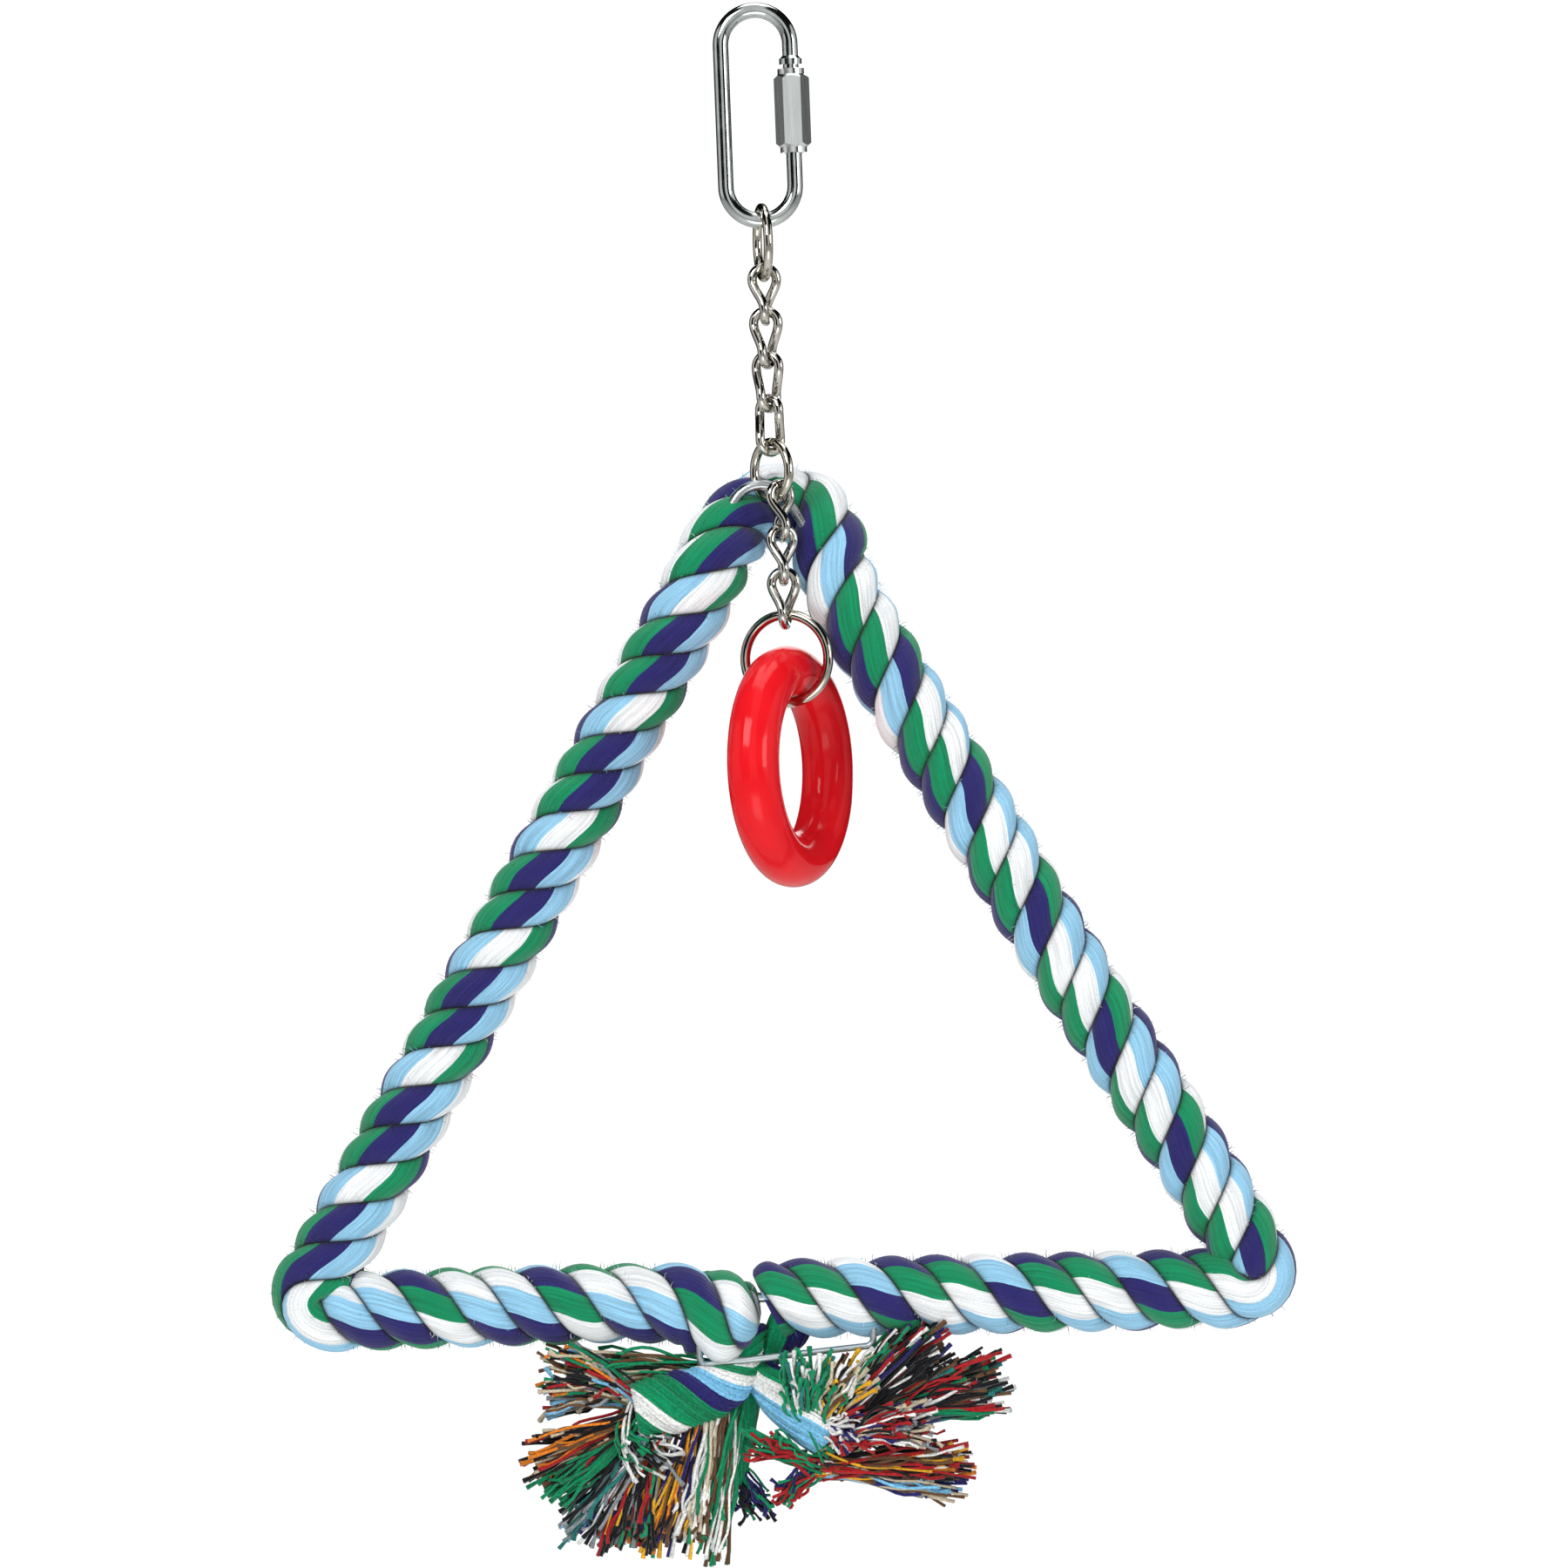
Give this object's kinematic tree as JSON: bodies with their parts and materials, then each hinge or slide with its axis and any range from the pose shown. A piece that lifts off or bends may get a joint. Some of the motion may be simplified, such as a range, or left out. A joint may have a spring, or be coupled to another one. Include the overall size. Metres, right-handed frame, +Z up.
{
  "type": "rope bird swing",
  "caption": "Triangular cotton-rope perch swing for a pet bird, on a twisted chain with a quick link and a plastic toy ring inside.",
  "frame": {"origin": "inside top of the quick link's bow, where a bar or hook carries the swing", "axes": "+Z up along the hanging chain, the front of the swing looks along -Y, +X to its right"},
  "size_m": [0.2923, 0.0666, 0.4556],
  "materials": {
    "zinc_plated_steel": "bright zinc-plated bent steel rod",
    "zinc_plated_nut": "bright zinc-plated turned hexagon nut",
    "ring_steel": "nickel-plated welded wire ring",
    "chain_steel": "nickel-plated twisted wire chain",
    "frame_wire_steel": "galvanised steel wire",
    "galvanised_wire": "dull galvanised soft wire",
    "toy_ring_plastic": "glossy moulded red plastic",
    "laid_cotton_rope": "three-strand laid cotton yarn in green, navy, light blue and white",
    "unlaid_cotton_strand": "unlaid strand of soft cotton yarns",
    "loose_cotton_yarn": "frayed cotton yarns of many colours"
  },
  "bodies": {
    "quick_link": {"quick_link_body": "zinc_plated_steel"},
    "sleeve_nut": {"sleeve_nut": "zinc_plated_nut"},
    "top_ring": {"top_ring": "ring_steel"},
    "chain_link_1": {"chain_link_1": "chain_steel"},
    "chain_link_2": {"chain_link_2": "chain_steel"},
    "chain_link_3": {"chain_link_3": "chain_steel"},
    "chain_link_4": {"chain_link_4": "chain_steel"},
    "apex_ring": {"apex_ring": "ring_steel"},
    "swing": {"frame_wire": "frame_wire_steel", "rope_left": "laid_cotton_rope", "rope_crown": "laid_cotton_rope", "rope_right": "laid_cotton_rope", "end_staple": "galvanised_wire", "left_tail": "unlaid_cotton_strand", "right_tail": "unlaid_cotton_strand", "hanging_tail": "unlaid_cotton_strand", "left_fray": "loose_cotton_yarn", "right_fray": "loose_cotton_yarn"},
    "chain_link_5": {"chain_link_5": "chain_steel"},
    "chain_link_6": {"chain_link_6": "chain_steel"},
    "chain_link_7": {"chain_link_7": "chain_steel"},
    "large_ring": {"large_ring": "ring_steel"},
    "toy_ring": {"toy_ring": "toy_ring_plastic"}
  },
  "joints": [
    {"name": "sleeve_nut_run", "type": "slide", "parent": "quick_link", "child": "sleeve_nut", "axis": [0, 0, -1], "range_m": [0, 0.009]},
    {"name": "top_ring_swing", "type": "hinge", "parent": "quick_link", "child": "top_ring", "pos_m": [0, 0, -0.05935], "axis": [1, 0, 0], "range_deg": [-40, 40]},
    {"name": "chain_link_1_sway", "type": "hinge", "parent": "top_ring", "child": "chain_link_1", "pos_m": [0, 0, -0.0761], "axis": [0.1564, -0.9877, 0], "range_deg": [-25, 25]},
    {"name": "chain_link_2_swing", "type": "hinge", "parent": "chain_link_1", "child": "chain_link_2", "pos_m": [0, 0, -0.0859], "axis": [0.9925, -0.1219, 0], "range_deg": [-25, 25]},
    {"name": "chain_link_3_sway", "type": "hinge", "parent": "chain_link_2", "child": "chain_link_3", "pos_m": [0, 0, -0.1017], "axis": [0.3907, 0.9205, 0], "range_deg": [-25, 25]},
    {"name": "chain_link_4_swing", "type": "hinge", "parent": "chain_link_3", "child": "chain_link_4", "pos_m": [0, 0, -0.1115], "axis": [0.7771, -0.6293, 0], "range_deg": [-25, 25]},
    {"name": "apex_ring_sway", "type": "hinge", "parent": "chain_link_4", "child": "apex_ring", "pos_m": [0, 0, -0.1273], "axis": [0.8192, 0.5736, 0], "range_deg": [-20, 20]},
    {"name": "swing_rock", "type": "hinge", "parent": "apex_ring", "child": "swing", "pos_m": [-0.00195, 0.00268, -0.13679], "axis": [1, 0, 0], "range_deg": [-2, 12]},
    {"name": "chain_link_5_swing", "type": "hinge", "parent": "apex_ring", "child": "chain_link_5", "pos_m": [0.00231, -0.00317, -0.13677], "axis": [1, 0, 0], "range_deg": [-15, 2]},
    {"name": "chain_link_6_sway", "type": "hinge", "parent": "chain_link_5", "child": "chain_link_6", "pos_m": [0.00231, -0.00317, -0.15257], "axis": [-0.342, 0.9397, 0], "range_deg": [-2, 2]},
    {"name": "chain_link_7_swing", "type": "hinge", "parent": "chain_link_6", "child": "chain_link_7", "pos_m": [0.00231, -0.00317, -0.16237], "axis": [0.9976, 0.0698, 0], "range_deg": [-20, 4]},
    {"name": "large_ring_sway", "type": "hinge", "parent": "chain_link_7", "child": "large_ring", "pos_m": [0.00231, -0.00317, -0.17817], "axis": [0.2079, 0.9781, 0], "range_deg": [-3, 3]},
    {"name": "toy_ring_swing", "type": "hinge", "parent": "large_ring", "child": "toy_ring", "pos_m": [0.00231, -0.00317, -0.20087], "axis": [0.9397, -0.342, 0], "range_deg": [-25, 20]}
  ]
}
